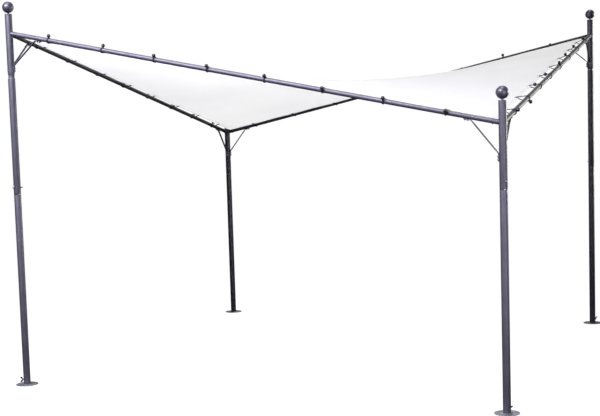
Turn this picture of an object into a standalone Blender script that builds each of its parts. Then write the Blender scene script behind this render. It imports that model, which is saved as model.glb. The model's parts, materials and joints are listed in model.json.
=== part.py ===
# Garden gazebo: four round steel posts on a square plan, joined by four sloping round beams.
# Two posts on one diagonal are high and the other two are low, so the white canopy that is laced
# between the beams takes a saddle shape. Metres, +Z up, the front side towards -Y, ground at z = 0.

import math

import bmesh
import bpy
from mathutils import Matrix, Vector

# Gap kept between pieces that touch
GAP = 0.0003

# Plan and heights
SIDE = 3.5                 # from post axis to post axis
HALF = SIDE / 2
HIGH_BEAM_Z = 2.51         # beam axis at a high post
LOW_BEAM_Z = 1.775         # beam axis at a low post
MIDDLE_Z = (HIGH_BEAM_Z + LOW_BEAM_Z) / 2
CORNER_RISE = (HIGH_BEAM_Z - LOW_BEAM_Z) / 2

# Posts: 50 mm tube, in lengths that plug into each other
POST_R = 0.025
TUBE_WALL = 0.0015
POST_BORE_R = POST_R - TUBE_WALL
PLUG_R = POST_BORE_R - GAP
POST_ABOVE_BEAM = 0.133
LOWER_JOINT_Z = 1.36
UPPER_JOINT_Z = 2.20
PLUG_LENGTH = 0.09
NECK_SHOWN = 0.028         # of the front left post's upper plug, which isn't pushed home
POST_SIDES = 20

# Beams: 32 mm tube, pushed on stubs that are welded to the posts
BEAM_R = 0.016
BEAM_BORE_R = BEAM_R - TUBE_WALL
STUB_R = BEAM_BORE_R - GAP
STUB_REACH = 0.095         # from the post axis to the stub's end
STUB_START = 0.0205        # inside the post's wall
BEAM_SIDES = 16

# Foot plates: a disc with an upright socket tube that goes into the post
FOOT_R = 0.08
FOOT_THICKNESS = 0.004
FOOT_EDGE = 0.001
SOCKET_HEIGHT = 0.075
FOOT_SIDES = 24

# Wing screws that clamp the post to the foot's socket
SCREW_Z = 0.040
SCREW_R = 0.003
SCREW_HOLE_R = 0.0036
SCREW_HUB_R = 0.006
SCREW_HUB_LENGTH = 0.009
WING_SPAN = 0.034
WING_THICKNESS = 0.0032
SCREW_SIDES = 12

# Ball caps
BALL_R = 0.040
BALL_ABOVE_POST = 0.048    # from the tube's top to the ball's centre
NECK_R = 0.006
CAP_THICKNESS = 0.002
CAP_DEPTH = 0.018
BALL_SIDES = 20
BALL_STEPS = 8

# Braces: flat bar with a tab at each end, one tab on the post and one under the beam
BRACE_WIDTH = 0.020
BRACE_THICKNESS = 0.004
BRACE_TAB = 0.048
BRACE_BEND_R = 0.012
BRACE_BEND_STEPS = 3
BRACE_ON_HIGH_POST = (0.225, 0.215)   # down the post, along the beam
BRACE_ON_LOW_POST = (0.184, 0.194)

# Canopy: one sheet, cut with round corners
CANOPY_INSET = 0.080       # from the beams' axes to the sheet's edge
CANOPY_CORNER_R = 0.085
CANOPY_THICKNESS = 0.003
CANOPY_CELLS = 18
CORNER_CELLS = 3

# Ball bungees: a double elastic cord round the beam and through an eyelet, hooked on its ball
BUNGEE_STEP = 0.1157       # of a side, from one eyelet to the next
CORD_WIDTH = 0.008         # two 4 mm cords side by side
CORD_THICKNESS = 0.004
CORD_SINK = 0.0010         # the stretched cord is modelled as one body with its beam
CORD_R = BEAM_R - CORD_SINK + CORD_THICKNESS / 2
CORD_ARC_STEPS = 8
EYELET_IN = 0.100          # from the beam's axis to the eyelet's centre
EYELET_R = 0.009
BUNGEE_BALL_R = 0.0125
# Each bungee: how far it is pushed along its beam, and where its ball sits round the beam in
# degrees, with 0 towards the canopy, 90 on top and 180 outside
BUNGEES = {
    "front": [(-0.010, 110), (0.013, 92), (0.008, 128), (-0.004, 140),
              (0.000, 128), (-0.006, 153), (-0.010, 135), (-0.016, 150)],
    "right": [(-0.020, 147), (0.000, 217), (0.015, 25), (0.000, 28),
              (-0.015, 100), (-0.010, 60), (0.000, 54), (0.000, 80)],
    "back": [(0.015, 140), (0.020, 92), (-0.006, 90), (0.004, 97),
             (0.008, 88), (-0.005, 94), (0.015, 150), (0.020, 150)],
    "left": [(0.000, 60), (0.005, 30), (-0.006, 16), (0.008, 150),
             (0.000, 148), (-0.008, 152), (0.005, 146), (0.000, 150)],
}

# Corners in order round the plan: name, signs of x and y, and high or low
CORNERS = {
    "front_left": (-1, -1, True),
    "front_right": (1, -1, False),
    "back_right": (1, 1, True),
    "back_left": (-1, 1, False),
}
# Beams run from their first corner to their second
BEAMS = {
    "front": ("front_left", "front_right"),
    "right": ("front_right", "back_right"),
    "back": ("back_right", "back_left"),
    "left": ("back_left", "front_left"),
}


def clear_scene():
    for old in list(bpy.data.objects):
        bpy.data.objects.remove(old, do_unlink=True)


def make_material(name, colour, roughness, metallic):
    material = bpy.data.materials.new(name)
    material.use_nodes = True
    shader = material.node_tree.nodes["Principled BSDF"]
    shader.inputs["Base Color"].default_value = (*colour, 1.0)
    shader.inputs["Roughness"].default_value = roughness
    shader.inputs["Metallic"].default_value = metallic
    return material


def add_object(name, bm, look, smooth_angle=None):
    """Turn a bmesh into a named object with its own material."""
    mesh = bpy.data.meshes.new(name)
    bmesh.ops.recalc_face_normals(bm, faces=bm.faces[:])
    bm.to_mesh(mesh)
    bm.free()
    if smooth_angle is not None:
        mesh.shade_smooth()
        mesh.set_sharp_from_angle(angle=math.radians(smooth_angle))
    piece = bpy.data.objects.new(name, mesh)
    bpy.context.scene.collection.objects.link(piece)
    if look is not None:
        mesh.materials.append(make_material(name, *look))
    return piece


def add_cutter(name, bm):
    cutter = add_object(name, bm, None)
    cutter.hide_render = True
    cutter.display_type = "WIRE"
    return cutter


def cut(piece, cutter):
    modifier = piece.modifiers.new("cut_" + cutter.name, "BOOLEAN")
    modifier.operation = "DIFFERENCE"
    modifier.solver = "EXACT"
    modifier.object = cutter


def join(piece, other):
    """Weld a helper solid to a piece; the helper itself is left out."""
    other.hide_render = True
    other.display_type = "WIRE"
    modifier = piece.modifiers.new("join_" + other.name, "BOOLEAN")
    modifier.operation = "UNION"
    modifier.solver = "EXACT"
    modifier.object = other


def turned(bm, profile, sides):
    """Spin a list of (radius, height) points once round Z; the last point joins the first."""
    points = [bm.verts.new((r, 0.0, z)) for r, z in profile]
    edges = []
    for k, point in enumerate(points):
        after = points[(k + 1) % len(points)]
        if point.co.x > 0 or after.co.x > 0:
            edges.append(bm.edges.new((point, after)))
    bmesh.ops.spin(bm, geom=points + edges, cent=(0, 0, 0), axis=(0, 0, 1), dvec=(0, 0, 0),
                   angle=2 * math.pi, steps=sides, use_merge=True, use_duplicate=False)
    bmesh.ops.remove_doubles(bm, verts=bm.verts[:], dist=0.000001)


def aim(origin, direction, up=(0, 0, 1)):
    """Matrix that puts local Z along a direction, with local X level."""
    z_axis = Vector(direction).normalized()
    x_axis = Vector(up).cross(z_axis).normalized()
    y_axis = z_axis.cross(x_axis)
    matrix = Matrix((x_axis, y_axis, z_axis)).transposed().to_4x4()
    matrix.translation = Vector(origin)
    return matrix


def beam_height(corner):
    return HIGH_BEAM_Z if CORNERS[corner][2] else LOW_BEAM_Z


def corner_point(corner):
    """Where the beams' axes meet the post's axis."""
    sx, sy = CORNERS[corner][:2]
    return Vector((sx * HALF, sy * HALF, beam_height(corner)))


def outward_diagonal(corner):
    """Level direction in which the wing screw points."""
    sx, sy = CORNERS[corner][:2]
    return Vector((sx, sy, 0)).normalized()


def sheet_point(x, y):
    """Point of the canopy's mid surface: a saddle that holds all four beam axes."""
    return Vector((x, y, MIDDLE_Z + CORNER_RISE * x * y / HALF ** 2))


PAINT = ((0.10, 0.10, 0.13), 0.30, 0.6)
FOOT_PAINT = ((0.25, 0.27, 0.33), 0.35, 0.6)
SCREW_STEEL = ((0.16, 0.16, 0.18), 0.40, 0.8)
FABRIC = ((0.86, 0.86, 0.86), 0.85, 0.0)


def foot_plate(corner):
    """Ground disc, turned in one piece with the socket tube that enters the post."""
    top = FOOT_THICKNESS
    bm = bmesh.new()
    turned(bm, [
        (0.0, 0.0),
        (FOOT_R - FOOT_EDGE, 0.0),
        (FOOT_R, FOOT_EDGE),
        (FOOT_R - FOOT_EDGE, top),
        (PLUG_R, top),
        (PLUG_R, SOCKET_HEIGHT),
        (PLUG_R - TUBE_WALL, SOCKET_HEIGHT),
        (PLUG_R - TUBE_WALL, top),
        (0.0, top),
    ], FOOT_SIDES)
    plate = add_object(corner + "_foot_plate", bm, FOOT_PAINT, 35)
    sx, sy = CORNERS[corner][:2]
    plate.location = (sx * HALF, sy * HALF, 0.0)


def post_tube(name, x, y, bottom, top, plugged):
    """One length of post; a plugged one has a narrowed end that enters the next length."""
    profile = [(POST_R, bottom), (POST_R, top)]
    if plugged:
        profile += [
            (PLUG_R, top),
            (PLUG_R, top + PLUG_LENGTH),
            (PLUG_R - TUBE_WALL, top + PLUG_LENGTH),
            (PLUG_R - TUBE_WALL, top - TUBE_WALL),
            (POST_BORE_R, top - TUBE_WALL * 2),
        ]
    else:
        profile.append((POST_BORE_R, top))
    profile.append((POST_BORE_R, bottom))
    bm = bmesh.new()
    turned(bm, profile, POST_SIDES)
    tube = add_object(name, bm, PAINT, 35)
    tube.location = (x, y, 0.0)
    return tube


def screw_hole(corner, x, y):
    bm = bmesh.new()
    bmesh.ops.create_cone(bm, cap_ends=True, segments=SCREW_SIDES, radius1=SCREW_HOLE_R,
                          radius2=SCREW_HOLE_R, depth=0.02)
    cutter = add_cutter(corner + "_screw_hole", bm)
    out = outward_diagonal(corner)
    cutter.matrix_world = aim(Vector((x, y, SCREW_Z)) + out * (POST_R - TUBE_WALL / 2), out)
    return cutter


def stub(corner, other):
    """Short tube welded to the post, along the beam to the other corner."""
    start = corner_point(corner)
    bm = bmesh.new()
    turned(bm, [
        (STUB_R, STUB_START),
        (STUB_R, STUB_REACH),
        (STUB_R - TUBE_WALL, STUB_REACH),
        (STUB_R - TUBE_WALL, STUB_START),
    ], BEAM_SIDES)
    piece = add_object(corner + "_stub_to_" + other, bm, None)
    piece.matrix_world = aim(start, corner_point(other) - start)
    return piece


def post(corner):
    """Post lengths from the foot plate up, the top one carrying the stubs of its two beams."""
    sx, sy, high = CORNERS[corner][:3]
    x = sx * HALF
    y = sy * HALF
    bottom = post_tube(corner + "_post_bottom", x, y, FOOT_THICKNESS + GAP, LOWER_JOINT_Z, True)
    cut(bottom, screw_hole(corner, x, y))
    joint = LOWER_JOINT_Z
    if high:
        middle_top = UPPER_JOINT_Z - (NECK_SHOWN if corner == "front_left" else 0)
        post_tube(corner + "_post_middle", x, y, LOWER_JOINT_Z + GAP, middle_top, True)
        joint = UPPER_JOINT_Z
    top_z = beam_height(corner) + POST_ABOVE_BEAM
    top = post_tube(corner + "_post_top", x, y, joint + GAP, top_z, False)
    for first, second in BEAMS.values():
        if corner == first:
            join(top, stub(corner, second))
        elif corner == second:
            join(top, stub(corner, first))


def ball_cap(corner):
    """Ball on a thin neck, turned with the flat cap that plugs the post's top."""
    profile = [
        (0.0, -CAP_DEPTH),
        (PLUG_R, -CAP_DEPTH),
        (PLUG_R, GAP),
        (POST_R, GAP),
        (POST_R, CAP_THICKNESS),
        (NECK_R, CAP_THICKNESS),
    ]
    neck_angle = math.asin(NECK_R / BALL_R)
    for k in range(BALL_STEPS):
        angle = neck_angle + (math.pi - neck_angle) * k / BALL_STEPS
        profile.append((BALL_R * math.sin(angle), BALL_ABOVE_POST - BALL_R * math.cos(angle)))
    profile.append((0.0, BALL_ABOVE_POST + BALL_R))
    bm = bmesh.new()
    turned(bm, profile, BALL_SIDES)
    cap = add_object(corner + "_ball_cap", bm, PAINT, 35)
    cap.location = (*corner_point(corner).xy, beam_height(corner) + POST_ABOVE_BEAM)


def wing_screw(corner):
    """Clamp screw with two wings; its tip stops just short of the foot's socket."""
    hub_start = POST_R + GAP
    hub_end = hub_start + SCREW_HUB_LENGTH
    bm = bmesh.new()
    turned(bm, [
        (0.0, PLUG_R + GAP),
        (SCREW_R, PLUG_R + GAP),
        (SCREW_R, hub_start),
        (SCREW_HUB_R, hub_start),
        (SCREW_HUB_R, hub_end),
        (SCREW_HUB_R - 0.002, hub_end + 0.002),
        (0.0, hub_end + 0.002),
    ], SCREW_SIDES)
    sx, sy = CORNERS[corner][:2]
    place = aim((sx * HALF, sy * HALF, SCREW_Z), outward_diagonal(corner))
    screw = add_object(corner + "_wing_screw", bm, SCREW_STEEL, 35)
    screw.matrix_world = place

    # Wings: one flat piece with a notch between its two rounded ears, across the hub
    ear_root = hub_start + 0.003
    half = WING_SPAN / 2
    outline = [
        (0.004, ear_root),
        (0.009, ear_root + 0.002),
        (half, ear_root + 0.009),
        (half, ear_root + 0.014),
        (half - 0.003, ear_root + 0.017),
        (half - 0.007, ear_root + 0.015),
        (0.004, ear_root + 0.006),
    ]
    outline += [(-y, z) for y, z in reversed(outline)]
    bm = bmesh.new()
    face = bm.faces.new([bm.verts.new((-WING_THICKNESS / 2, y, z)) for y, z in outline])
    grown = bmesh.ops.extrude_face_region(bm, geom=[face])
    moved = [item for item in grown["geom"] if isinstance(item, bmesh.types.BMVert)]
    bmesh.ops.translate(bm, verts=moved, vec=(WING_THICKNESS, 0, 0))
    wings = add_object(corner + "_wings", bm, None)
    wings.matrix_world = place
    join(screw, wings)


def beam(name, post_cutters):
    """Sloping tube between two posts, its ends shaped to their round sides."""
    first, second = BEAMS[name]
    start = corner_point(first)
    run = corner_point(second) - start
    bm = bmesh.new()
    turned(bm, [
        (BEAM_R, 0.0),
        (BEAM_R, run.length),
        (BEAM_BORE_R, run.length),
        (BEAM_BORE_R, 0.0),
    ], BEAM_SIDES)
    tube = add_object(name + "_beam", bm, PAINT, 35)
    tube.matrix_world = aim(start, run)
    cut(tube, post_cutters[first])
    cut(tube, post_cutters[second])
    cords, balls = bungees(name)
    join(tube, cords)
    join(tube, balls)


def post_cutter(corner):
    """Round space that a beam's end leaves for the post."""
    bm = bmesh.new()
    bmesh.ops.create_cone(bm, cap_ends=True, segments=POST_SIDES, radius1=POST_R + GAP,
                          radius2=POST_R + GAP, depth=0.2)
    cutter = add_cutter(corner + "_post_space", bm)
    cutter.location = corner_point(corner)
    return cutter


def rounded_path(points, radius, steps):
    """Polyline with its inner corners replaced by arcs."""
    path = [points[0]]
    for before, corner, after in zip(points, points[1:], points[2:]):
        to_before = (before - corner).normalized()
        to_after = (after - corner).normalized()
        half_angle = to_before.angle(to_after) / 2
        cut_back = radius / math.tan(half_angle)
        centre = corner + (to_before + to_after).normalized() * radius / math.sin(half_angle)
        arm_in = corner + to_before * cut_back - centre
        arm_out = corner + to_after * cut_back - centre
        for k in range(steps + 1):
            path.append(centre + arm_in.lerp(arm_out, k / steps).normalized() * radius)
    path.append(points[-1])
    return path


def brace(corner, beam_name):
    """Flat bar from the post to the underside of one beam, bent at both tabs."""
    first, second = BEAMS[beam_name]
    other = second if corner == first else first
    start = corner_point(corner)
    run = corner_point(other) - start
    outward = Vector((run.x, run.y, 0)).normalized()
    slope = run.z / SIDE
    down, along = BRACE_ON_HIGH_POST if CORNERS[corner][2] else BRACE_ON_LOW_POST
    half = BRACE_THICKNESS / 2
    beside_post = POST_R + GAP + half
    below_beam = (BEAM_R + GAP + half) * math.hypot(1, slope)
    tab_run = BRACE_TAB / math.hypot(1, slope)

    def under_beam(distance):
        return Vector((distance, slope * distance - below_beam))

    line = rounded_path([
        Vector((beside_post, -down - BRACE_TAB)),
        Vector((beside_post, -down)),
        under_beam(along),
        under_beam(along + tab_run),
    ], BRACE_BEND_R, BRACE_BEND_STEPS)

    # Outline of the bar's edge, then extruded to the bar's width
    left = []
    right = []
    for k, point in enumerate(line):
        before = line[max(k - 1, 0)]
        after = line[min(k + 1, len(line) - 1)]
        forward = (after - before).normalized()
        side = Vector((-forward.y, forward.x)) * half
        left.append(point + side)
        right.append(point - side)
    across = outward.cross(Vector((0, 0, 1))) * BRACE_WIDTH / 2
    bm = bmesh.new()
    ribbon = []
    for pair in zip(left, right):
        ribbon.append([bm.verts.new(start + outward * p.x + Vector((0, 0, p.y)) - across)
                       for p in pair])
    for (a, b), (c, d) in zip(ribbon, ribbon[1:]):
        bm.faces.new((a, b, d, c))
    grown = bmesh.ops.extrude_face_region(bm, geom=bm.faces[:])
    moved = [item for item in grown["geom"] if isinstance(item, bmesh.types.BMVert)]
    bmesh.ops.translate(bm, verts=moved, vec=across * 2)
    add_object(corner + "_brace_" + beam_name, bm, PAINT, 35)


def sheet_lines():
    """Grid coordinates across the sheet, closer together in its round corners."""
    reach = HALF - CANOPY_INSET
    inner = reach - CANOPY_CORNER_R
    near = [-reach + CANOPY_CORNER_R * k / CORNER_CELLS for k in range(CORNER_CELLS)]
    middle = [-inner + 2 * inner * k / CANOPY_CELLS for k in range(CANOPY_CELLS + 1)]
    far = [-value for value in reversed(near)]
    return near + middle + far


def round_corner(x, y):
    """Pull the grid's square corners in to round ones."""
    inner = HALF - CANOPY_INSET - CANOPY_CORNER_R
    over_x = abs(x) - inner
    over_y = abs(y) - inner
    if over_x <= 0 or over_y <= 0:
        return x, y
    scale = max(over_x, over_y) / math.hypot(over_x, over_y)
    return (math.copysign(inner + over_x * scale, x),
            math.copysign(inner + over_y * scale, y))


def bungee_frame(beam_name, number):
    """Point on the beam's axis, the axis direction and the eyelet that one bungee joins."""
    first, second = BEAMS[beam_name]
    start = corner_point(first)
    run = corner_point(second) - start
    direction = run.normalized()
    level = Vector((run.x, run.y, 0)).normalized()
    inward = Vector((-level.y, level.x, 0))
    place = 0.5 + BUNGEE_STEP * (number - 3.5)
    shift = BUNGEES[beam_name][number][0]
    on_beam = start + run * (place + shift / SIDE)
    plan = Vector((start.x, start.y, 0)) + level * (SIDE * place + shift) + inward * EYELET_IN
    return on_beam, direction, sheet_point(plan.x, plan.y)


def canopy():
    """White sheet: a grid on the saddle, thickened, with its eyelet holes cut."""
    lines = sheet_lines()
    bm = bmesh.new()
    rows = []
    for y in lines:
        rows.append([bm.verts.new(sheet_point(*round_corner(x, y))) for x in lines])
    for low, high in zip(rows, rows[1:]):
        for k in range(len(lines) - 1):
            bm.faces.new((low[k], low[k + 1], high[k + 1], high[k]))
    bmesh.ops.triangulate(bm, faces=bm.faces[:])
    sheet = add_object("canopy", bm, FABRIC, 60)
    thickness = sheet.modifiers.new("thickness", "SOLIDIFY")
    thickness.thickness = CANOPY_THICKNESS
    thickness.offset = 0.0

    holes = bmesh.new()
    for beam_name in BEAMS:
        for number in range(len(BUNGEES[beam_name])):
            on_beam, direction, eyelet = bungee_frame(beam_name, number)
            normal = direction.cross(eyelet - on_beam).normalized()
            bmesh.ops.create_cone(holes, cap_ends=True, segments=6, radius1=EYELET_R,
                                  radius2=EYELET_R, depth=0.03,
                                  matrix=aim(eyelet, normal, up=direction))
    cut(sheet, add_cutter("eyelet_holes", holes))


def cord_loop(bm, on_beam, direction, eyelet):
    """Flat ring for the double cord: round the beam, then through the eyelet."""
    reach = eyelet - on_beam
    lean = reach.dot(direction)
    inward = (reach - direction * lean).normalized()
    distance = (reach - direction * lean).length
    up = direction.cross(inward)
    tangent = math.acos(CORD_R / distance)
    section = []
    for k in range(CORD_ARC_STEPS + 1):
        angle = tangent + (2 * math.pi - 2 * tangent) * k / CORD_ARC_STEPS
        section.append((CORD_R * math.cos(angle), CORD_R * math.sin(angle)))
    beside_sheet = CANOPY_THICKNESS / 2 + CORD_THICKNESS / 2 + 0.0016
    section += [
        (distance - 0.002, -beside_sheet),
        (distance + 0.001, 0.0),
        (distance - 0.002, beside_sheet),
    ]
    middles = [Vector(point) for point in section]
    rings = []
    for k, point in enumerate(middles):
        before = middles[k - 1]
        after = middles[(k + 1) % len(middles)]
        forward = (after - before).normalized()
        side = Vector((-forward.y, forward.x)) * CORD_THICKNESS / 2
        ring = []
        for offset, across in ((side, -1), (side, 1), (-side, 1), (-side, -1)):
            flat = point + offset
            shift = direction * (lean * flat.x / distance + across * CORD_WIDTH / 2)
            ring.append(bm.verts.new(on_beam + inward * flat.x + up * flat.y + shift))
        rings.append(ring)
    for k, ring in enumerate(rings):
        following = rings[(k + 1) % len(rings)]
        for j in range(4):
            bm.faces.new((ring[j], ring[(j + 1) % 4], following[(j + 1) % 4], following[j]))
    return inward, up, lean / distance


def bungees(beam_name):
    """All the ball bungees of one side."""
    cords = bmesh.new()
    balls = bmesh.new()
    ball_distance = CORD_R + CORD_THICKNESS / 2 - CORD_SINK + BUNGEE_BALL_R
    for number, (_, degrees) in enumerate(BUNGEES[beam_name]):
        on_beam, direction, eyelet = bungee_frame(beam_name, number)
        inward, up, lean = cord_loop(cords, on_beam, direction, eyelet)
        angle = math.radians(degrees)
        across = ball_distance * math.cos(angle)
        above = ball_distance * math.sin(angle)
        centre = on_beam + (inward + direction * lean) * across + up * above
        bmesh.ops.create_icosphere(balls, subdivisions=2, radius=BUNGEE_BALL_R,
                                   matrix=Matrix.Translation(centre))
    return (add_object(beam_name + "_bungee_cords", cords, None, 50),
            add_object(beam_name + "_bungee_balls", balls, None, 50))


def build():
    clear_scene()
    post_cutters = {corner: post_cutter(corner) for corner in CORNERS}
    for corner in CORNERS:
        foot_plate(corner)
        post(corner)
        ball_cap(corner)
        wing_screw(corner)
    for name, ends in BEAMS.items():
        beam(name, post_cutters)
        for corner in ends:
            brace(corner, name)
    canopy()


build()
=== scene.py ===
import json
import math

import bmesh
import bpy
from mathutils import Matrix, Vector

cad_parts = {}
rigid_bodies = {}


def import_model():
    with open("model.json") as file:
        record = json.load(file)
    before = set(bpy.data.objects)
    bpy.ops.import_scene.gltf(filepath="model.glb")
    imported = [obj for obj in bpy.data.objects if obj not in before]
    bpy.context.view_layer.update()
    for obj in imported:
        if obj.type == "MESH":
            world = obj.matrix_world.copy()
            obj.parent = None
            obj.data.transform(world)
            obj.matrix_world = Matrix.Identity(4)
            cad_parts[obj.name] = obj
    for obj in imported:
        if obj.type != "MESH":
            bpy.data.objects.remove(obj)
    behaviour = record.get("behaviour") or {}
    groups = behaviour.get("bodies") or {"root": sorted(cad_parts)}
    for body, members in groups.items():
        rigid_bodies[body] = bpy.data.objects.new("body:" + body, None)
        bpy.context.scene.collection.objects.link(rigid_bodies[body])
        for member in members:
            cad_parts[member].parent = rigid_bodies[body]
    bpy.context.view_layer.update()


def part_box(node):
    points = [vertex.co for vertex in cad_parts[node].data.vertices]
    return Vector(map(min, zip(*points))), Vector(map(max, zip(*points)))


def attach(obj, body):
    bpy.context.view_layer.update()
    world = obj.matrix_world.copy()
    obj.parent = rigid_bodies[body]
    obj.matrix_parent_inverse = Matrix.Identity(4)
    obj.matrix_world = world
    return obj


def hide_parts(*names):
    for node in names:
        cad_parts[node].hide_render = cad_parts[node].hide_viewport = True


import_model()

# Ground discs. Each post stands on a pressed steel disc, 160 mm across and 4 mm thick, with its rim turned
# down. A short socket tube is welded to the middle and goes up inside the post. They are sprayed silver-grey.

# Each corner has its side in X, its side in Y, and whether its post is a high one.
CORNERS = {
    "front_left": (-1, -1, True),
    "front_right": (1, -1, False),
    "back_right": (1, 1, True),
    "back_left": (-1, 1, False),
}
POST_R = 0.025
TUBE_WALL = 0.0015
FIT_GAP = 0.0003
DISC_R = 0.080
DISC_TOP = 0.004
DISC_HOLLOW = 0.0005
DISC_EDGE_R = 0.0020
GROOVE_R = 0.044
SOCKET_R = 0.0232
SOCKET_TOP = 0.075
DISC_SIDES = 96


def post_foot(corner):
    """Middle of the corner's ground disc, on the ground."""
    low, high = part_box(corner + "_foot_plate")
    return Vector(((low.x + high.x) / 2, (low.y + high.y) / 2, 0.0))


def around(count, first=0.0):
    """Angles of evenly spaced points once round."""
    return [2 * math.pi * (k + first) / count for k in range(count)]


def bridge(bm, ring, after):
    """Faces between two rings of points; a ring of one point makes a tip."""
    for k in range(max(len(ring), len(after))):
        a, b = ring[k % len(ring)], ring[(k + 1) % len(ring)]
        c, d = after[(k + 1) % len(after)], after[k % len(after)]
        corners = list(dict.fromkeys((a, b, c, d)))
        if len(corners) > 2:
            bm.faces.new(corners)


def lathe(bm, profile, sides, place=Matrix.Identity(4)):
    """Turn a closed outline of (radius, height) points once round, then set it in place."""
    rings = []
    for radius, height in profile:
        angles = around(sides) if radius > 0 else [0.0]
        points = [Vector((radius * math.cos(angle), radius * math.sin(angle), height)) for angle in angles]
        rings.append([bm.verts.new(place @ point) for point in points])
    for k, ring in enumerate(rings):
        bridge(bm, ring, rings[(k + 1) % len(rings)])


def rounded(x, z, radius, start, end, steps=4):
    """Points of a small arc, for a turned edge that isn't sharp."""
    points = []
    for k in range(steps + 1):
        angle = math.radians(start + (end - start) * k / steps)
        points.append((x + radius * math.cos(angle), z + radius * math.sin(angle)))
    return points


def add_object(name, data):
    """Stand mesh, lamp or camera data in the scene."""
    item = bpy.data.objects.new(name, data)
    bpy.context.scene.collection.objects.link(item)
    return item


def add_piece(name, bm, material, nodes=(), smooth=38):
    """Finish a mesh as a named piece that rides on the frame and stands for its solids."""
    bmesh.ops.recalc_face_normals(bm, faces=bm.faces[:])
    mesh = bpy.data.meshes.new(name)
    bm.to_mesh(mesh)
    bm.free()
    mesh.shade_smooth()
    mesh.set_sharp_from_angle(angle=math.radians(smooth))
    mesh.materials.append(material)
    piece = add_object(name, mesh)
    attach(piece, "root")
    if nodes:
        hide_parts(*nodes)
    return piece


def new_group(name, inputs, outputs):
    """Empty shader group with named sockets; each input comes with its kind and usual value."""
    group = bpy.data.node_groups.new(name, "ShaderNodeTree")
    for label, kind, value in inputs:
        socket = group.interface.new_socket(name=label, in_out="INPUT", socket_type=kind)
        socket.default_value = value
    for label, kind in outputs:
        group.interface.new_socket(name=label, in_out="OUTPUT", socket_type=kind)
    group.nodes.new("NodeGroupInput")
    group.nodes.new("NodeGroupOutput")
    return group


def wire(tree, output, node, socket):
    tree.links.new(output, node.inputs[socket])


def object_place(tree):
    """Object coordinates, which are metres here."""
    return tree.nodes.new("ShaderNodeTexCoord").outputs["Object"]


def noise(tree, place, scale, detail=2.0, roughness=0.5):
    node = tree.nodes.new("ShaderNodeTexNoise")
    node.inputs["Scale"].default_value = scale
    node.inputs["Detail"].default_value = detail
    node.inputs["Roughness"].default_value = roughness
    wire(tree, place, node, "Vector")
    return node.outputs["Fac"]


def remap(tree, value, low, high, to_low=0.0, to_high=1.0):
    node = tree.nodes.new("ShaderNodeMapRange")
    node.inputs["From Min"].default_value = low
    node.inputs["From Max"].default_value = high
    node.inputs["To Min"].default_value = to_low
    node.inputs["To Max"].default_value = to_high
    wire(tree, value, node, "Value")
    return node.outputs[0]


def product(tree, first, second):
    node = tree.nodes.new("ShaderNodeMath")
    node.operation = "MULTIPLY"
    wire(tree, first, node, 0)
    wire(tree, second, node, 1)
    return node.outputs[0]


def colour_mix(tree, factor, first, second, blend="MIX"):
    """Two colours mixed; each of the three comes as a plain value or as a node's output."""
    node = tree.nodes.new("ShaderNodeMix")
    node.data_type = "RGBA"
    node.blend_type = blend
    for socket, source in (("Factor", factor), (6, first), (7, second)):
        if isinstance(source, (float, tuple)):
            node.inputs[socket].default_value = source
        else:
            wire(tree, source, node, socket)
    return node.outputs[2]


def add_bump(tree, height, shader, strength, distance):
    bump = tree.nodes.new("ShaderNodeBump")
    bump.inputs["Strength"].default_value = strength
    bump.inputs["Distance"].default_value = distance
    wire(tree, height, bump, "Height")
    wire(tree, bump.outputs["Normal"], shader, "Normal")


def new_material(name):
    """Material, with its tree and its shader."""
    material = bpy.data.materials.new(name)
    material.use_nodes = True
    return material, material.node_tree, material.node_tree.nodes["Principled BSDF"]


# Finish shared by all the metal, painted or plated: fine flakes in the colour, a cloudy tone, a slightly
# uneven skin, and dull dust where a piece comes near the ground.
def paint_group():
    group = new_group("sprayed_paint", [
        ("Paint", "NodeSocketColor", (0.1, 0.1, 0.12, 1)),
        ("Flake", "NodeSocketColor", (0.2, 0.2, 0.24, 1)),
        ("Flake Share", "NodeSocketFloat", 0.3),
        ("Dust", "NodeSocketColor", (0.2, 0.19, 0.18, 1)),
        ("Dust Height", "NodeSocketFloat", 0.12),
        ("Gloss Low", "NodeSocketFloat", 0.25),
        ("Gloss High", "NodeSocketFloat", 0.4),
    ], [
        ("Colour", "NodeSocketColor"),
        ("Roughness", "NodeSocketFloat"),
        ("Skin", "NodeSocketFloat"),
    ])
    source = group.nodes["Group Input"]
    result = group.nodes["Group Output"]
    place = object_place(group)

    flakes = group.nodes.new("ShaderNodeTexVoronoi")
    flakes.inputs["Scale"].default_value = 1500
    wire(group, place, flakes, "Vector")
    sparkle = group.nodes.new("ShaderNodeSeparateColor")
    wire(group, flakes.outputs["Color"], sparkle, 0)
    share = product(group, sparkle.outputs[0], source.outputs["Flake Share"])
    flaked = colour_mix(group, share, source.outputs["Paint"], source.outputs["Flake"])

    cloudy = remap(group, noise(group, place, 9.0, 3.0), 0.3, 0.7, 0.90, 1.08)
    toned = colour_mix(group, 1.0, flaked, cloudy, "MULTIPLY")

    height = group.nodes.new("ShaderNodeSeparateXYZ")
    wire(group, place, height, 0)
    near_ground = remap(group, height.outputs["Z"], 0.0, 1.0, 0.55, 0.0)
    wire(group, source.outputs["Dust Height"], near_ground.node, "From Max")
    patchy = remap(group, noise(group, place, 60.0, 4.0, 0.65), 0.42, 0.68)
    dust = product(group, near_ground, patchy)
    wire(group, colour_mix(group, dust, toned, source.outputs["Dust"]), result, "Colour")

    gloss = remap(group, noise(group, place, 24.0, 3.0), 0.3, 0.7)
    wire(group, source.outputs["Gloss Low"], gloss.node, "To Min")
    wire(group, source.outputs["Gloss High"], gloss.node, "To Max")
    duller = group.nodes.new("ShaderNodeMath")
    duller.operation = "MULTIPLY_ADD"
    duller.inputs[1].default_value = 0.5
    wire(group, dust, duller, 0)
    wire(group, gloss, duller, 2)
    wire(group, duller.outputs[0], result, "Roughness")
    wire(group, noise(group, place, 420.0), result, "Skin")
    return group


PAINT_GROUP = paint_group()


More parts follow.
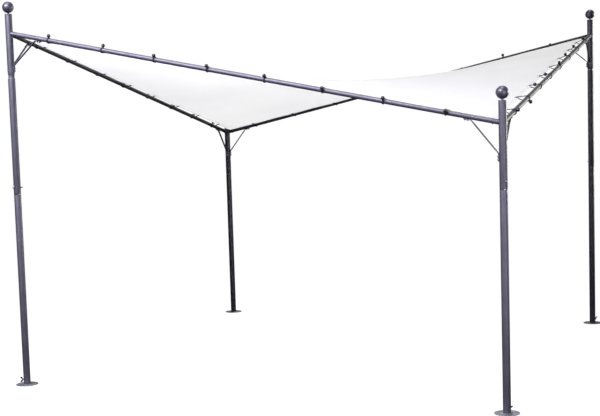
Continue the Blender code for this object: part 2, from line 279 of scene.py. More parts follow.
def paint_material(name, values, metallic, coat, skin_depth):
    """Painted or plated metal, from the shared finish and this piece's own values."""
    material, tree, shader = new_material(name)
    shader.inputs["Metallic"].default_value = metallic
    shader.inputs["Coat Weight"].default_value = coat
    shader.inputs["Coat Roughness"].default_value = 0.18
    paint = tree.nodes.new("ShaderNodeGroup")
    paint.node_tree = PAINT_GROUP
    for label, value in values.items():
        paint.inputs[label].default_value = value
    wire(tree, paint.outputs["Colour"], shader, "Base Color")
    wire(tree, paint.outputs["Roughness"], shader, "Roughness")
    add_bump(tree, paint.outputs["Skin"], shader, 0.25, skin_depth)
    return material


disc_paint = paint_material("disc_paint", {
    "Paint": (0.125, 0.137, 0.160, 1),
    "Flake": (0.28, 0.30, 0.34, 1),
    "Flake Share": 0.5,
    "Dust": (0.32, 0.30, 0.28, 1),
    "Dust Height": 0.02,
    "Gloss Low": 0.30,
    "Gloss High": 0.45,
}, 0.6, 0.1, 0.00008)

for corner in CORNERS:
    bm = bmesh.new()
    outline = [(0.0, DISC_HOLLOW), (DISC_R - 0.004, DISC_HOLLOW)]
    outline += [(DISC_R - 0.0035, 0.0), (DISC_R - 0.0008, 0.0)]
    outline += rounded(DISC_R - DISC_EDGE_R, DISC_TOP - DISC_EDGE_R, DISC_EDGE_R, 0, 90, 6)
    outline += [(GROOVE_R + 0.002, DISC_TOP), (GROOVE_R, DISC_TOP - 0.0005), (GROOVE_R - 0.002, DISC_TOP)]
    outline += [(SOCKET_R, DISC_TOP), (SOCKET_R, SOCKET_TOP), (SOCKET_R - TUBE_WALL, SOCKET_TOP)]
    outline += [(SOCKET_R - TUBE_WALL, DISC_TOP + 0.0005), (0.0, DISC_TOP + 0.0005)]
    lathe(bm, outline, DISC_SIDES, Matrix.Translation(post_foot(corner)))
    add_piece(corner + "_ground_disc", bm, disc_paint, [corner + "_foot_plate"])

# Posts. Round 50 mm steel tube with a 1.5 mm wall, in lengths that plug into each other: two on a low post
# and three on a high one. Their cut ends are a little rounded over, and all are sprayed metallic anthracite.
anthracite = paint_material("anthracite_paint", {
    "Paint": (0.112, 0.107, 0.135, 1),
    "Flake": (0.250, 0.242, 0.295, 1),
    "Flake Share": 0.35,
    "Dust": (0.16, 0.15, 0.15, 1),
    "Dust Height": 0.16,
    "Gloss Low": 0.56,
    "Gloss High": 0.64,
}, 0.85, 0.12, 0.00010)

HALF = abs(post_foot("front_right").x)
HIGH_BEAM_Z = 2.51
LOW_BEAM_Z = 1.775
POST_ABOVE_BEAM = 0.133
LOWER_SEAM_Z = 1.372
UPPER_SEAM_Z = 2.214
NECK_SHOWN = 0.018
PLUG_LENGTH = 0.09
LIP = 0.0009
SEAM_GAP = 0.006
POST_SIDES = 64
NECKED = "front_left"
NECK_WAIST = 0.0212
# The drawn-in end of the top length at the necked joint, and the shoulder of the length below it
DRAWN_END = [(0.0216, 0.0), (0.0222, 0.002), (0.0236, 0.011), (0.0246, 0.020), (POST_R, 0.028)]
DRAWN_BORE = 0.0200
BORE_STEP = 0.028
SHOULDER = [(POST_R, -0.008), (0.0246, -0.004), (0.0236, -0.001), (0.0218, 0.0), (NECK_WAIST, 0.002)]


def beam_height(corner):
    return HIGH_BEAM_Z if CORNERS[corner][2] else LOW_BEAM_Z


def post_top(corner):
    return beam_height(corner) + POST_ABOVE_BEAM


def post_seams(corner):
    return [LOWER_SEAM_Z, UPPER_SEAM_Z] if CORNERS[corner][2] else [LOWER_SEAM_Z]


def tube_outline(bottom, top, plugged, drawn_in, necked):
    """Post length in section: its lower end, its upper end and its plug, if it has one."""
    bore = POST_R - TUBE_WALL
    plug_top = top + PLUG_LENGTH
    if drawn_in:
        outline = [(radius, bottom + height) for radius, height in DRAWN_END]
        foot = DRAWN_BORE
    else:
        outline = [(POST_R - LIP, bottom)] + rounded(POST_R - LIP, bottom + LIP, LIP, -90, 0)[1:]
        foot = bore
    top_end = top
    if necked:
        outline += [(radius, top + height) for radius, height in SHOULDER]
        outline += [(NECK_WAIST, top + NECK_SHOWN), (NECK_WAIST, plug_top)]
        outline += [(NECK_WAIST - TUBE_WALL, plug_top), (NECK_WAIST - TUBE_WALL, top - 0.008)]
        top_end -= 0.010
    else:
        outline += rounded(POST_R - LIP, top - LIP, LIP, 0, 90)
        if plugged:
            outline += [(SOCKET_R, top), (SOCKET_R, plug_top - LIP), (SOCKET_R - LIP, plug_top)]
            outline += [(SOCKET_R - TUBE_WALL, plug_top), (SOCKET_R - TUBE_WALL, top - 0.0015)]
            top_end -= 0.003
    return outline + [(bore, top_end), (bore, bottom + BORE_STEP), (foot, bottom)]


for corner in CORNERS:
    seams = post_seams(corner)
    lengths = ["bottom", "middle", "top"] if len(seams) > 1 else ["bottom", "top"]
    starts = [DISC_TOP + FIT_GAP] + [seam + SEAM_GAP for seam in seams]
    ends = seams + [post_top(corner)]
    if corner == NECKED:
        starts[2] = UPPER_SEAM_Z + FIT_GAP
        ends[1] -= NECK_SHOWN
    for length, bottom, top in zip(lengths, starts, ends):
        bm = bmesh.new()
        drawn_in = corner == NECKED and length == "top"
        necked = corner == NECKED and length == "middle"
        outline = tube_outline(bottom, top, length != "top", drawn_in, necked)
        lathe(bm, outline, POST_SIDES, Matrix.Translation(post_foot(corner)))
        add_piece(f"{corner}_{length}_tube", bm, anthracite, [f"{corner}_post_{length}"])

# Ball caps. A spun steel ball, 80 mm across, stands on a thin neck over the flat cap that plugs the post.
# They are sprayed in the posts' colour, glossier, with the weld line of the two halves round the middle.
ball_paint = paint_material("ball_paint", {
    "Paint": (0.100, 0.095, 0.122, 1),
    "Flake": (0.260, 0.250, 0.310, 1),
    "Flake Share": 0.35,
    "Dust": (0.16, 0.15, 0.15, 1),
    "Dust Height": 0.10,
    "Gloss Low": 0.42,
    "Gloss High": 0.48,
}, 0.7, 0.06, 0.00006)

BALL_R = 0.040
NECK_R = 0.006
BALL_ABOVE_POST = 0.048
CAP_DEPTH = 0.018
WELD_GROOVE = 0.0004
BALL_SIDES = 72

for corner in CORNERS:
    bm = bmesh.new()
    outline = [(0.0, -CAP_DEPTH), (SOCKET_R, -CAP_DEPTH), (SOCKET_R, FIT_GAP), (POST_R - 0.0006, FIT_GAP)]
    outline += rounded(POST_R - 0.0010, 0.0012, 0.0008, -60, 90, 6)
    outline += [(NECK_R + 0.0030, 0.0020), (NECK_R + 0.0010, 0.0026), (NECK_R, 0.0040)]
    neck = math.degrees(math.asin(NECK_R / BALL_R))
    for k in range(33):
        degrees = -90 + neck + (180 - neck) * k / 33
        angle = math.radians(degrees)
        radius = BALL_R - WELD_GROOVE if abs(degrees) < 1.5 else BALL_R
        outline.append((radius * math.cos(angle), BALL_ABOVE_POST + BALL_R * math.sin(angle)))
    outline.append((0.0, BALL_ABOVE_POST + BALL_R))
    place = post_foot(corner) + Vector((0, 0, post_top(corner)))
    lathe(bm, outline, BALL_SIDES, Matrix.Translation(place))
    add_piece(corner + "_ball", bm, ball_paint, [corner + "_ball_cap"], 50)

# Wing screws. A cast screw with two round ears goes through the foot of each post and clamps it to the
# disc's socket tube. They are blackened zinc.
zinc = paint_material("black_zinc", {
    "Paint": (0.016, 0.016, 0.018, 1),
    "Flake": (0.05, 0.05, 0.055, 1),
    "Flake Share": 0.3,
    "Dust": (0.05, 0.045, 0.04, 1),
    "Dust Height": 0.03,
    "Gloss Low": 0.40,
    "Gloss High": 0.55,
}, 0.4, 0.0, 0.00012)

SCREW_Z = 0.040
SCREW_R = 0.003
SCREW_SIDES = 24
EAR_OUT = 0.0118
EAR_HALF_WIDTH = 0.0088
EAR_HALF_HEIGHT = 0.0078
EAR_MIDDLE = POST_R + 0.0140
EAR_LEAN = 0.35
EAR_SIDES = 20
# How far out each ring of an ear lies, as a share of the ear, and half the ear's thickness there
EAR_SECTION = [(0.0, 0.0028), (0.75, 0.0027), (0.93, 0.0020), (1.0, 0.0008)]
# The lower and the upper four points of the arm between hub and ear: across, out and height over the post
ARM = [
    [(-0.0016, 0.003, 0.003), (0.0016, 0.003, 0.003), (0.0014, 0.009, 0.009), (-0.0014, 0.009, 0.009)],
    [(-0.0016, 0.003, 0.0085), (0.0016, 0.003, 0.0085), (0.0014, 0.007, 0.014), (-0.0014, 0.007, 0.014)],
]
# How far each screw was left turned from having its ears one above the other, in degrees
SCREW_TURN = {"front_left": 8, "front_right": -45, "back_right": 40, "back_left": 12}


def facing(origin, direction, up=Vector((0, 0, 1))):
    """Place with its Z along a direction and its X square to an upward one."""
    z_axis = Vector(direction).normalized()
    x_axis = Vector(up).cross(z_axis).normalized()
    matrix = Matrix((x_axis, z_axis.cross(x_axis), z_axis)).transposed().to_4x4()
    matrix.translation = Vector(origin)
    return matrix


def add_ear(bm, place, side):
    """One ear of the wing screw: a flat oval that thins towards its rim."""
    rims = []
    for face in (1, -1):
        loops = []
        for reach, half_depth in EAR_SECTION:
            loop = []
            for angle in around(EAR_SIDES if reach else 1):
                y = reach * EAR_HALF_WIDTH * math.cos(angle)
                z = EAR_MIDDLE + reach * EAR_HALF_HEIGHT * math.sin(angle) + side * EAR_LEAN * y
                loop.append(bm.verts.new(place @ Vector((face * half_depth, side * EAR_OUT + y, z))))
            loops.append(loop)
        for inner, outer in zip(loops, loops[1:]):
            bridge(bm, inner, outer)
        rims.append(loops[-1])
    bridge(bm, *rims)


def outward_diagonal(corner):
    """Level direction from the middle of the gazebo out through a corner."""
    return Vector((*CORNERS[corner][:2], 0)).normalized()


for corner in CORNERS:
    place = facing(post_foot(corner) + Vector((0, 0, SCREW_Z)), outward_diagonal(corner))
    place = place @ Matrix.Rotation(math.radians(SCREW_TURN[corner]), 4, "Z")
    bm = bmesh.new()
    outline = [(0.0, SOCKET_R + FIT_GAP), (SCREW_R, SOCKET_R + FIT_GAP), (SCREW_R, POST_R + FIT_GAP)]
    outline += [(0.0064, POST_R + FIT_GAP), (0.0064, POST_R + 0.0020), (0.0052, POST_R + 0.0050)]
    outline += [(0.0046, POST_R + 0.0095), (0.0036, POST_R + 0.0108), (0.0, POST_R + 0.0112)]
    lathe(bm, outline, SCREW_SIDES, place)
    for side in (1, -1):
        add_ear(bm, place, side)
        rings = []
        for points in ARM:
            rings.append([bm.verts.new(place @ Vector((x, side * y, POST_R + z))) for x, y, z in points])
        bridge(bm, *rings)
        for ring in rings:
            bm.faces.new(ring)
    add_piece(corner + "_thumb_screw", bm, zinc, [corner + "_wing_screw"], 45)

# Top beams. Four straight lengths of 32 mm steel tube run corner to corner, pushed over stubs on the posts,
# so that each end is cut to a hollow that fits round its post.
BEAM_R = 0.016
BEAM_SIDES = 48
BEAMS = {
    "front": ("front_left", "front_right"),
    "right": ("front_right", "back_right"),
    "back": ("back_right", "back_left"),
    "left": ("back_left", "front_left"),
}


def corner_point(corner):
    """Where the axes of the corner's two beams meet the axis of its post."""
    return post_foot(corner) + Vector((0, 0, beam_height(corner)))


def beam_axes(name):
    """Start, end and direction of a beam, with the level direction towards the canopy."""
    start, end = (corner_point(corner) for corner in BEAMS[name])
    direction = (end - start).normalized()
    inward = Vector((-direction.y, direction.x, 0)).normalized()
    return start, end, direction, inward


def coped_distance(offset, direction, radius):
    """How far along the beam a point of its skin comes clear of the post."""
    level = Vector((direction.x, direction.y))
    flat = Vector((offset.x, offset.y))
    a = level.length_squared
    b = 2 * level.dot(flat)
    c = flat.length_squared - radius * radius
    return (-b + math.sqrt(b * b - 4 * a * c)) / (2 * a)


for name in BEAMS:
    start, end, direction, inward = beam_axes(name)
    above = direction.cross(inward)
    bm = bmesh.new()
    rings = []
    for origin, heading, radius in ((start, direction, BEAM_R - TUBE_WALL), (start, direction, BEAM_R),
                                    (end, -direction, BEAM_R), (end, -direction, BEAM_R - TUBE_WALL)):
        ring = []
        for angle in around(BEAM_SIDES):
            offset = (inward * math.cos(angle) + above * math.sin(angle)) * radius
            along = coped_distance(offset, heading, POST_R + FIT_GAP)
            ring.append(bm.verts.new(origin + offset + heading * along))
        rings.append(ring)
    for k, ring in enumerate(rings):
        bridge(bm, rings[k - 1], ring)
    add_piece(name + "_tube", bm, anthracite, [name + "_beam"])

# Corner braces. A steel bar with rounded sides stands across each corner, pressed flat at both ends into
# tabs, 20 by 4 mm. One tab lies against the post and the other under the beam. They are sprayed as the posts.
BRACE_WIDTH = 0.020
BRACE_HALF = 0.002
BRACE_TAB = 0.048
BRACE_BEND_R = 0.012
BRACE_CORNER_R = 0.006
FLAT_AFTER_BEND = 0.002
SWELL_LENGTH = 0.030
TAB_SQUARENESS = 9.0
BAR_SQUARENESS = 2.4
BRACE_SIDES = 20
# How far below the beam's axis and how far along the beam each brace reaches, without its tabs
BRACE_ON_HIGH_POST = (0.225, 0.215)
BRACE_ON_LOW_POST = (0.184, 0.194)
BAR_HALF_WIDTH = 0.0082
BAR_HALF_DEPTH = 0.0044


def braces():
    """Corner and beam of each brace, with the corner at the beam's far end."""
    for corner in CORNERS:
        for name, ends in BEAMS.items():
            if corner in ends:
                yield corner, name, ends[1] if corner == ends[0] else ends[0]


def brace_line(corner, other):
    """The bar's middle line seen from the side: its four turning points and its two bends, as arcs."""
    run = corner_point(other) - corner_point(corner)
    outward = Vector((run.x, run.y, 0)).normalized()
    slope = run.z / Vector((run.x, run.y)).length
    down, along = BRACE_ON_HIGH_POST if CORNERS[corner][2] else BRACE_ON_LOW_POST
    beside = POST_R + FIT_GAP + BRACE_HALF
    below = (BEAM_R + FIT_GAP + BRACE_HALF) * math.hypot(1, slope)
    tab_end = along + BRACE_TAB / math.hypot(1, slope)
    points = [
        Vector((beside, -down - BRACE_TAB)),
        Vector((beside, -down)),
        Vector((along, slope * along - below)),
        Vector((tab_end, slope * tab_end - below)),
    ]
    bends = []
    for before, bend, after in zip(points, points[1:], points[2:]):
        back = (before - bend).normalized()
        onward = (after - bend).normalized()
        half_angle = back.angle(onward) / 2
        centre = bend + (back + onward).normalized() * BRACE_BEND_R / math.sin(half_angle)
        arm_in = bend + back * BRACE_BEND_R / math.tan(half_angle) - centre
        arm_out = bend + onward * BRACE_BEND_R / math.tan(half_angle) - centre
        bends.append([centre + arm_in.lerp(arm_out, k / 8).normalized() * BRACE_BEND_R for k in range(9)])
    return points, bends, outward


def brace_section(from_end, from_bend):
    """Half width, half depth and squareness of the bar, at its distance from the end and from a bend."""
    width = BRACE_WIDTH / 2
    if from_end < BRACE_CORNER_R:
        short = BRACE_CORNER_R - from_end
        width += math.sqrt(max(BRACE_CORNER_R ** 2 - short ** 2, 0.0)) - BRACE_CORNER_R
    share = min(max((from_bend - FLAT_AFTER_BEND) / SWELL_LENGTH, 0.0), 1.0)
    share = share * share * (3 - 2 * share)
    return (width + (BAR_HALF_WIDTH - width) * share,
            BRACE_HALF + (BAR_HALF_DEPTH - BRACE_HALF) * share,
            TAB_SQUARENESS + (BAR_SQUARENESS - TAB_SQUARENESS) * share)


def brace_stations(points, bends):
    """Points along the bar's middle line, each with its distance from the nearer bend."""
    low_bend, high_bend = bends
    stations = [(points[0].lerp(low_bend[0], share), 0.0) for share in (0.0, 0.02, 0.05, 0.08, 0.11)]
    stations += [(point, 0.0) for point in low_bend]
    span = (high_bend[0] - low_bend[-1]).length
    for k in range(1, 20):
        share = k / 20
        stations.append((low_bend[-1].lerp(high_bend[0], share), min(share, 1 - share) * span))
    stations += [(point, 0.0) for point in high_bend]
    tab = [high_bend[-1].lerp(points[-1], share) for share in (0.89, 0.92, 0.95, 0.98, 1.0)]
    return stations + [(point, 0.0) for point in tab]


for corner, beam_name, other in braces():
    points, bends, outward = brace_line(corner, other)
    stations = brace_stations(points, bends)
    across = outward.cross(Vector((0, 0, 1)))
    origin = corner_point(corner)
    bm = bmesh.new()
    rings = []
    for k, (point, from_bend) in enumerate(stations):
        before = stations[max(k - 1, 0)][0]
        after = stations[min(k + 1, len(stations) - 1)][0]
        forward = (after - before).normalized()
        side = Vector((-forward.y, forward.x))
        near_end = min((point - points[0]).length, (point - points[-1]).length)
        width, depth, squareness = brace_section(near_end, from_bend)
        ring = []
        for angle in around(BRACE_SIDES, 0.5):
            u, v = math.cos(angle), math.sin(angle)
            u = math.copysign(abs(u) ** (2 / squareness), u) * width
            v = math.copysign(abs(v) ** (2 / squareness), v) * depth
            flat = point + side * v
            ring.append(bm.verts.new(origin + outward * flat.x + Vector((0, 0, flat.y)) + across * u))
        rings.append(ring)
    for ring, after in zip(rings, rings[1:]):
        bridge(bm, ring, after)
    bm.faces.new(rings[0])
    bm.faces.new(rings[-1])
    add_piece(f"{corner}_{beam_name}_bar", bm, anthracite, [f"{corner}_brace_{beam_name}"], 35)

# Bolts. Each brace tab is held by two hexagon bolts over washers. Each lower post joint is locked by a domed
# bolt right through it, and each beam end by a small screw from below. A bright ring sits in each open seam.
bolt_zinc = paint_material("bolt_zinc", {
    "Paint": (0.26, 0.26, 0.28, 1),
    "Flake": (0.60, 0.60, 0.62, 1),
    "Flake Share": 0.4,
    "Dust": (0.2, 0.18, 0.16, 1),
    "Dust Height": 0.02,
    "Gloss Low": 0.20,
    "Gloss High": 0.34,
}, 1.0, 0.0, 0.00005)

BOLT_R = 0.0034
WASHER = [(BOLT_R, 0.0), (0.0074, 0.0), (0.0077, 0.0003), (0.0075, 0.0013), (BOLT_R, 0.0013)]
SPRING_WASHER = [(BOLT_R, 0.0014), (0.0054, 0.0014), (0.0054, 0.0027), (BOLT_R, 0.0027)]
ACROSS_FLATS = 0.010
DOME_SEAT = 0.0022
THREAD_PITCH = 0.0013
THREAD_TIP = 0.0186
TAB_BOLTS = (0.019, 0.037)
BEAM_SCREW_ALONG = 0.060
JOINT_BOLT_OVER_SEAM = 0.052
SEATED = 0.0008


def bolt_place(origin, direction):
    """Place of a fastener, turned a little so that its flats aren't level."""
    return facing(origin, direction, Vector((0.3, 0.2, 1)))


def add_hexagon(bm, place, bottom, top):
    """Bolt head or nut: six flats, with the corners of its outer face turned off."""
    radius = ACROSS_FLATS / math.sqrt(3)
    rings = []
    for height, size in ((bottom, radius), (top - 0.0007, radius), (top, radius - 0.0011)):
        points = [Vector((size * math.cos(angle), size * math.sin(angle), height)) for angle in around(6)]
        rings.append([bm.verts.new(place @ point) for point in points])
    for ring, after in zip(rings, rings[1:]):
        bridge(bm, ring, after)
    bm.faces.new(rings[0])
    bm.faces.new(rings[-1])


def add_hexagon_bolt(bm, origin, direction):
    """Washer, spring washer and hexagon head, standing on a surface."""
    place = bolt_place(origin, direction)
    lathe(bm, WASHER, SCREW_SIDES, place)
    lathe(bm, SPRING_WASHER, SCREW_SIDES, place)
    add_hexagon(bm, place, 0.0028, 0.0072)


def add_dome(bm, origin, direction, radius, height):
    """Washer under a domed head with a round recess."""
    place = bolt_place(origin, direction)
    scale = radius / 0.0053
    lathe(bm, [(r * scale, z) for r, z in WASHER], SCREW_SIDES, place)
    outline = [(0.0, 0.0014), (radius * 0.95, 0.0014), (radius, DOME_SEAT)]
    for k in range(1, 6):
        angle = math.radians(90 * k / 6)
        outline.append((radius * math.cos(angle), DOME_SEAT + (height - DOME_SEAT) * math.sin(angle)))
    outline += [(radius * 0.36, height * 0.99), (radius * 0.32, height * 0.6), (0.0, height * 0.6)]
    lathe(bm, outline, SCREW_SIDES, place)


def add_nut_end(bm, origin, direction):
    """Washer, nut and the threaded end of a bolt that comes out through it."""
    place = bolt_place(origin, direction)
    lathe(bm, WASHER, SCREW_SIDES, place)
    add_hexagon(bm, place, 0.0014, 0.0064)
    thread = [(0.0, 0.0)]
    for k in range(9):
        height = 0.0064 + THREAD_PITCH * k
        thread += [(0.0030, height), (0.0026, height + THREAD_PITCH / 2)]
    thread += [(0.0021, THREAD_TIP), (0.0, THREAD_TIP)]
    lathe(bm, thread, 16, place)


bm = bmesh.new()
for corner, _, other in braces():
    points, _, outward = brace_line(corner, other)
    origin = corner_point(corner)
    slope = (points[3] - points[2]).normalized()
    below = outward * slope.y - Vector((0, 0, slope.x))
    for along in TAB_BOLTS:
        on_post = Vector((points[0].x + BRACE_HALF, points[1].y - along))
        add_hexagon_bolt(bm, origin + outward * on_post.x + Vector((0, 0, on_post.y)), outward)
        spot = points[2] + slope * along + Vector((slope.y, -slope.x)) * BRACE_HALF
        add_hexagon_bolt(bm, origin + outward * spot.x + Vector((0, 0, spot.y)), below)
    beam_end = (corner_point(other) - origin).normalized()
    under = beam_end.cross(beam_end.cross(Vector((0, 0, 1)))).normalized()
    add_dome(bm, origin + beam_end * BEAM_SCREW_ALONG + under * (BEAM_R - 0.0006), under, 0.0042, 0.0046)
for corner in CORNERS:
    diagonal = outward_diagonal(corner)
    middle = post_foot(corner) + Vector((0, 0, LOWER_SEAM_Z + JOINT_BOLT_OVER_SEAM))
    add_dome(bm, middle + diagonal * (POST_R - SEATED), diagonal, 0.0080, 0.0078)
    add_nut_end(bm, middle - diagonal * (POST_R - SEATED), -diagonal)
    inner, outer, low, high = SOCKET_R + 0.0002, POST_R - 0.0005, 0.0002, SEAM_GAP - 0.0002
    for seam in post_seams(corner):
        if corner == NECKED and seam == UPPER_SEAM_Z:
            continue
        lathe(bm, [(inner, low), (outer, low), (outer, high), (inner, high)], POST_SIDES,
              Matrix.Translation(post_foot(corner) + Vector((0, 0, seam))))
add_piece("frame_bolts", bm, bolt_zinc, (), 40)

# Canopy. One piece of white coated polyester, stretched in the square between the beams. The high and low
# corners pull it into a saddle. A folded hem runs all round, and the corners are cut round.
REACH = HALF - 0.052
ROUND_R = 0.060
HEM = 0.036
CLOTH_HALF = 0.0006
HEM_HALF = 0.0014
MIDDLE_Z = (HIGH_BEAM_Z + LOW_BEAM_Z) / 2
CORNER_RISE = (HIGH_BEAM_Z - LOW_BEAM_Z) / 2
EDGE_TUCK = 0.004
EDGE_RIPPLE = 0.0022
SLACK_REACH = 0.16
CORNER_FADE = 0.15
EDGE_HALF = 0.0005
BUNGEE_STEP = 0.1157
EYELET_IN = 0.072
# How far each bungee is pushed along its beam, and where its ball sits round the beam, in degrees
BUNGEES = {
    "front": [(-0.010, 110), (0.013, 92), (0.008, 128), (-0.004, 140),
              (0.000, 128), (-0.006, 153), (-0.010, 135), (-0.016, 150)],
    "right": [(-0.020, 147), (0.000, 217), (0.015, 25), (0.000, 28),
              (-0.015, 100), (-0.010, 60), (0.000, 54), (0.000, 80)],
    "back": [(0.015, 160), (0.020, 92), (-0.006, 172), (0.004, 97),
             (0.008, 88), (-0.005, 94), (0.015, 150), (0.020, 150)],
    "left": [(0.000, 60), (0.005, 30), (-0.006, 16), (0.008, 150),
             (0.000, 148), (-0.008, 152), (0.005, 146), (0.000, 150)],
}


def saddle(x, y):
    """Point of the stretched cloth; all four beam axes lie on this surface."""
    return Vector((x, y, MIDDLE_Z + CORNER_RISE * x * y / HALF ** 2))


def bungee_places(name):
    """Beam point, beam direction and eyelet of each bungee on one side."""
    start, end, direction, inward = beam_axes(name)
    level = Vector((direction.x, direction.y, 0)).normalized()
    flat = Vector((start.x, start.y, 0))
    found = []
    for k, (shift, _) in enumerate(BUNGEES[name]):
        place = 0.5 + BUNGEE_STEP * (k - (len(BUNGEES[name]) - 1) / 2) + shift / (2 * HALF)
        spot = flat + level * 2 * HALF * place + inward * EYELET_IN
        found.append((start.lerp(end, place), direction, saddle(spot.x, spot.y)))
    return found


EYELETS = [eyelet for name in BEAMS for _, _, eyelet in bungee_places(name)]


def pulled(along):
    """0 at an eyelet and 1 midway between two, for a position along a side."""
    spacing = BUNGEE_STEP * 2 * HALF
    return 0.5 - 0.5 * math.cos(2 * math.pi * (along / spacing - 0.5))


def cloth_point(x, y):
    """Plan point with its corners drawn round and its edges drawn in between eyelets, on the saddle."""
    inner = REACH - ROUND_R
    over_x, over_y = abs(x) - inner, abs(y) - inner
    if over_x > 0 and over_y > 0:
        scale = max(over_x, over_y) / math.hypot(over_x, over_y)
        return saddle(math.copysign(inner + over_x * scale, x), math.copysign(inner + over_y * scale, y))
    across, along = (x, y) if abs(x) > abs(y) else (y, x)
    slack = math.exp((abs(across) - REACH) / SLACK_REACH) * min((inner - abs(along)) / CORNER_FADE, 1.0)
    tuck = pulled(along) * slack
    drawn = across - math.copysign(EDGE_TUCK * tuck, across)
    point = saddle(drawn, y) if abs(x) > abs(y) else saddle(x, drawn)
    point.z += EDGE_RIPPLE * (tuck - 0.5 * slack)
    return point


def cloth_lines():
    """Places of the cloth's mesh lines in X and in Y: close together along the hem, even between."""
    near = [0.0, 0.0012, 0.006, 0.020, HEM - 0.002, HEM, HEM + 0.0012, 0.048]
    low = [-REACH + step for step in near]
    inner = REACH - ROUND_R
    middle = [-inner + 2 * inner * k / 96 for k in range(97)]
    return low + middle + [-value for value in reversed(low)]


def cloth_half(from_edge):
    """Half the thickness of the cloth: thin at the fold, double over the hem and single inside it."""
    if from_edge < 0.0005:
        return EDGE_HALF
    return CLOTH_HALF if from_edge > HEM + 0.0005 else HEM_HALF


lines = cloth_lines()
bm = bmesh.new()
upper, lower = [], []
for y in lines:
    points = [cloth_point(x, y) for x in lines]
    lifts = [Vector((0, 0, cloth_half(REACH - max(abs(x), abs(y))))) for x in lines]
    upper.append([bm.verts.new(point + lift) for point, lift in zip(points, lifts)])
    lower.append([bm.verts.new(point - lift) for point, lift in zip(points, lifts)])
last = len(lines) - 1
for j in range(last):
    for i in range(last):
        bm.faces.new((upper[j][i], upper[j][i + 1], upper[j + 1][i + 1], upper[j + 1][i]))
        bm.faces.new((lower[j + 1][i], lower[j + 1][i + 1], lower[j][i + 1], lower[j][i]))
for i in range(last):
    for j in (0, last):
        bm.faces.new((upper[j][i], lower[j][i], lower[j][i + 1], upper[j][i + 1]))
        bm.faces.new((upper[i][j], upper[i + 1][j], lower[i + 1][j], lower[i][j]))


def two_tones(tree, value, low, high, low_at=0.0, high_at=1.0):
    """Colour that goes from one tone to another as a value rises."""
    ramp = tree.nodes.new("ShaderNodeValToRGB")
    first, last = ramp.color_ramp.elements
    first.position, first.color = low_at, low
    last.position, last.color = high_at, high
    wire(tree, value, ramp, "Fac")
    return ramp.outputs["Color"]


fabric, tree, shader = new_material("white_polyester")
shader.inputs["Sheen Weight"].default_value = 0.15
shader.inputs["Sheen Roughness"].default_value = 0.5
shader.inputs["Specular IOR Level"].default_value = 0.3
lit_through = tree.nodes.new("ShaderNodeBsdfTranslucent")
blend = tree.nodes.new("ShaderNodeMixShader")
blend.inputs["Fac"].default_value = 0.69
wire(tree, shader.outputs["BSDF"], blend, 1)
wire(tree, lit_through.outputs["BSDF"], blend, 2)
wire(tree, blend.outputs["Shader"], tree.nodes["Material Output"], "Surface")
place = object_place(tree)
tone = two_tones(tree, noise(tree, place, 1.6, 3.0), (0.86, 0.86, 0.865, 1), (0.90, 0.90, 0.90, 1), 0.3, 0.7)
wire(tree, tone, shader, "Base Color")
wire(tree, tone, lit_through, "Color")
wire(tree, remap(tree, noise(tree, place, 14.0, 4.0), 0.3, 0.7, 0.62, 0.78), shader, "Roughness")
weave = tree.nodes.new("ShaderNodeMath")
weave.operation = "MAXIMUM"
for socket, direction in enumerate(("X", "Y")):
    thread = tree.nodes.new("ShaderNodeTexWave")
    thread.bands_direction = direction
    thread.inputs["Scale"].default_value = 260
    thread.inputs["Distortion"].default_value = 0.6
    thread.inputs["Detail"].default_value = 1.0
    wire(tree, place, thread, "Vector")
    wire(tree, thread.outputs["Fac"], weave, socket)
add_bump(tree, weave.outputs[0], shader, 0.3, 0.0002)
canopy = add_piece("canopy_cloth", bm, fabric, ["canopy"], 60)

# Eyelet holes. They are punched through the hem with a round die, 15 mm across, eight along each side, so
# that the cords can pass.
EYELET_HOLE_R = 0.0075
PUNCH_REACH = 0.01
PUNCH_SIDES = 20


def eyelet_place(centre):
    """Place of an eyelet, square to the cloth."""
    square = Vector((-CORNER_RISE * centre.y / HALF ** 2, -CORNER_RISE * centre.x / HALF ** 2, 1))
    return facing(centre, square, Vector((0, 1, 0)))


outline = [(0.0, -PUNCH_REACH), (EYELET_HOLE_R, -PUNCH_REACH)]
outline += [(EYELET_HOLE_R, PUNCH_REACH), (0.0, PUNCH_REACH)]
bm = bmesh.new()
for centre in EYELETS:
    lathe(bm, outline, PUNCH_SIDES, eyelet_place(centre))
bmesh.ops.recalc_face_normals(bm, faces=bm.faces[:])
punch_mesh = bpy.data.meshes.new("punch")
bm.to_mesh(punch_mesh)
bm.free()
punch = add_object("punch", punch_mesh)
hole = canopy.modifiers.new("holes", "BOOLEAN")
hole.operation = "DIFFERENCE"
hole.solver = "EXACT"
hole.object = punch
punched = bpy.data.meshes.new_from_object(canopy.evaluated_get(bpy.context.evaluated_depsgraph_get()))
canopy.modifiers.clear()
canopy.data = punched
bpy.data.objects.remove(punch, do_unlink=True)

# Eyelets. A nickel-plated brass ring is pressed on each face of the hem round every hole, and keeps the cord
# from tearing it.
nickel = paint_material("nickel_rings", {
    "Paint": (0.55, 0.54, 0.50, 1),
    "Flake": (0.72, 0.70, 0.66, 1),
    "Flake Share": 0.3,
    "Dust": (0.3, 0.28, 0.25, 1),
    "Dust Height": 0.02,
    "Gloss Low": 0.16,
    "Gloss High": 0.30,
}, 1.0, 0.0, 0.00003)

RING_MIDDLE_R = 0.0098
RING_HALF_WIDTH = 0.0032
RING_HEIGHT = 0.0011
RING_SIDES = 28

